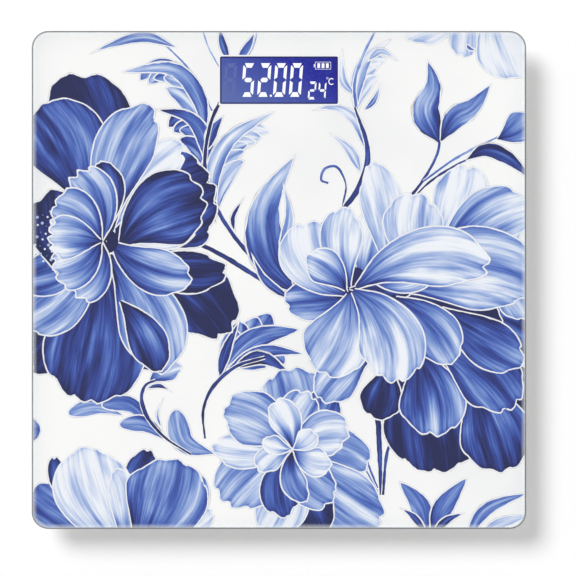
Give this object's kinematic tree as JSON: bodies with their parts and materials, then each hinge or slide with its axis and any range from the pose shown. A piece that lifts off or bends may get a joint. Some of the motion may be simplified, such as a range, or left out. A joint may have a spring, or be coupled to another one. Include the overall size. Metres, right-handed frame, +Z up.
{
  "type": "digital bathroom scale",
  "caption": "Square glass-topped digital bathroom scale with a blue floral print, a backlit weight display, floating load-cell feet and a battery door underneath.",
  "frame": {"origin": "on the floor under the middle of the glass platform", "axes": "+Z up through the platform, +Y from the middle of the platform towards the display, +X to the right of a person who reads it"},
  "size_m": [0.28, 0.282, 0.025],
  "materials": {
    "tempered_glass": "clear, polished edges",
    "printed_film": "white with a blue floral print",
    "white_plastic": "fine moulded texture",
    "foam_tape": "closed-cell foam",
    "spring_steel": "stamped and plated",
    "black_plastic": "moulded",
    "gauge_glue": "soft white coating",
    "grey_rubber": "matt",
    "black_foam": "foam",
    "lcd_glass": "polarised blue",
    "backlight": "lit blue light guide",
    "zebra_rubber": "striped silicone",
    "circuit_board": "solder mask",
    "black_resin": "poured resin",
    "component_tan": "ceramic",
    "can_metal": "drawn can",
    "screw_steel": "zinc plated",
    "switch_stem": "moulded",
    "grey_plastic": "moulded",
    "battery_wrap": "printed sleeve",
    "nickel_contact": "nickel plated",
    "red_wire": "PVC",
    "white_wire": "PVC",
    "black_wire": "PVC"
  },
  "bodies": {
    "scale_body": {"glass_platform": "tempered_glass", "printed_film": "printed_film", "base_tray": "white_plastic", "perimeter_tape": "foam_tape", "load_cell_front_left": "spring_steel", "load_cell_front_right": "spring_steel", "load_cell_rear_left": "spring_steel", "load_cell_rear_right": "spring_steel", "cell_bracket_front_left": "black_plastic", "cell_bracket_front_right": "black_plastic", "cell_bracket_rear_left": "black_plastic", "cell_bracket_rear_right": "black_plastic", "strain_gauge_front_left": "gauge_glue", "strain_gauge_front_right": "gauge_glue", "strain_gauge_rear_left": "gauge_glue", "strain_gauge_rear_right": "gauge_glue", "display_gasket": "black_foam", "lcd_panel": "lcd_glass", "backlight": "backlight", "display_connector": "zebra_rubber", "display_holder": "white_plastic", "main_board": "circuit_board", "chip_cover": "black_resin", "board_capacitors": "component_tan", "crystal": "can_metal", "temperature_sensor": "component_tan", "board_screws": "screw_steel", "switch_body": "black_plastic", "battery_rear": "battery_wrap", "battery_front": "battery_wrap", "contact_negative": "nickel_contact", "contact_positive": "nickel_contact", "contact_bridge": "nickel_contact", "contact_springs": "nickel_contact", "cell_wires_red": "red_wire", "cell_wires_white": "white_wire", "cell_wires_black": "black_wire", "battery_wire_red": "red_wire", "battery_wire_black": "black_wire"},
    "foot_front_left": {"foot_cap_front_left": "white_plastic", "foot_pad_front_left": "grey_rubber"},
    "foot_front_right": {"foot_cap_front_right": "white_plastic", "foot_pad_front_right": "grey_rubber"},
    "foot_rear_left": {"foot_cap_rear_left": "white_plastic", "foot_pad_rear_left": "grey_rubber"},
    "foot_rear_right": {"foot_cap_rear_right": "white_plastic", "foot_pad_rear_right": "grey_rubber"},
    "battery_door": {"battery_door": "white_plastic"},
    "unit_button": {"unit_button": "grey_plastic"},
    "switch_plunger": {"switch_plunger": "switch_stem"}
  },
  "joints": [
    {"name": "foot_front_left_slide", "type": "slide", "parent": "scale_body", "child": "foot_front_left", "axis": [0, 0, 1], "range_m": [-0.0005, 0]},
    {"name": "foot_front_right_slide", "type": "slide", "parent": "scale_body", "child": "foot_front_right", "axis": [0, 0, 1], "range_m": [-0.0005, 0]},
    {"name": "foot_rear_left_slide", "type": "slide", "parent": "scale_body", "child": "foot_rear_left", "axis": [0, 0, 1], "range_m": [-0.0005, 0]},
    {"name": "foot_rear_right_slide", "type": "slide", "parent": "scale_body", "child": "foot_rear_right", "axis": [0, 0, 1], "range_m": [-0.0005, 0]},
    {"name": "battery_door_hinge", "type": "hinge", "parent": "scale_body", "child": "battery_door", "pos_m": [-0.0265, 0.05, 0.0059], "axis": [0, 1, 0], "range_deg": [0, 90]},
    {"name": "unit_button_press", "type": "slide", "parent": "scale_body", "child": "unit_button", "axis": [0, 0, 1], "range_m": [0, 0.0003], "stiffness_N_per_m": 2000},
    {"name": "switch_plunger_press", "type": "slide", "parent": "scale_body", "child": "switch_plunger", "axis": [0, 0, 1], "range_m": [0, 0.0003]}
  ],
  "couplings": [
    {"joint": "switch_plunger_press", "follows": "unit_button_press", "ratio": 1}
  ]
}
